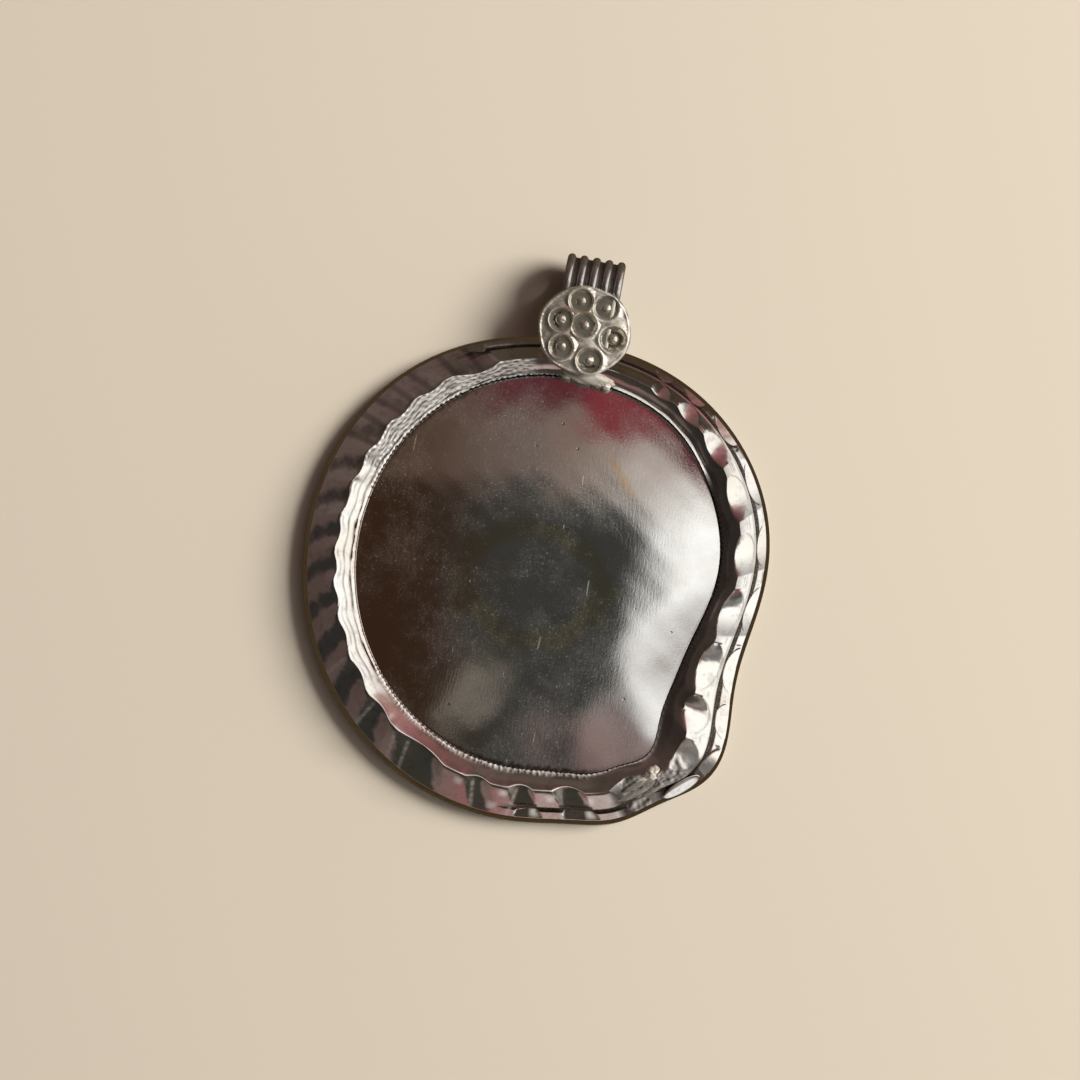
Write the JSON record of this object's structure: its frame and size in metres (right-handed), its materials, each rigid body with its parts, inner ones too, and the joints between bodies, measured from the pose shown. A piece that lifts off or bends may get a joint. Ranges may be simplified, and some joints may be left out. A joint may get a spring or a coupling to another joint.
{
  "type": "amulet pendant",
  "caption": "Silver amulet pendant: a domed mirror plate held by a toothed lip in an oval, pinched, fluted setting with a flat back, a small rosette and a ribbed bail.",
  "frame": {"origin": "middle of the oval body, on the back face that it rests on", "axes": "+Z out of the mirror plate's face, +Y from the middle of the body to the bail, +X along the bail's opening"},
  "size_m": [0.0292, 0.0359, 0.0038],
  "materials": {
    "silver": "polished silver with dark tarnish in the grooves",
    "silver_back": "plain silver sheet, worn and a little dull",
    "mirror_silver": "polished silver plate, clouded, with fine scratches and pits"
  },
  "bodies": {
    "root": {"setting": "silver", "back_plate": "silver_back", "mirror_disc": "mirror_silver"}
  },
  "joints": []
}
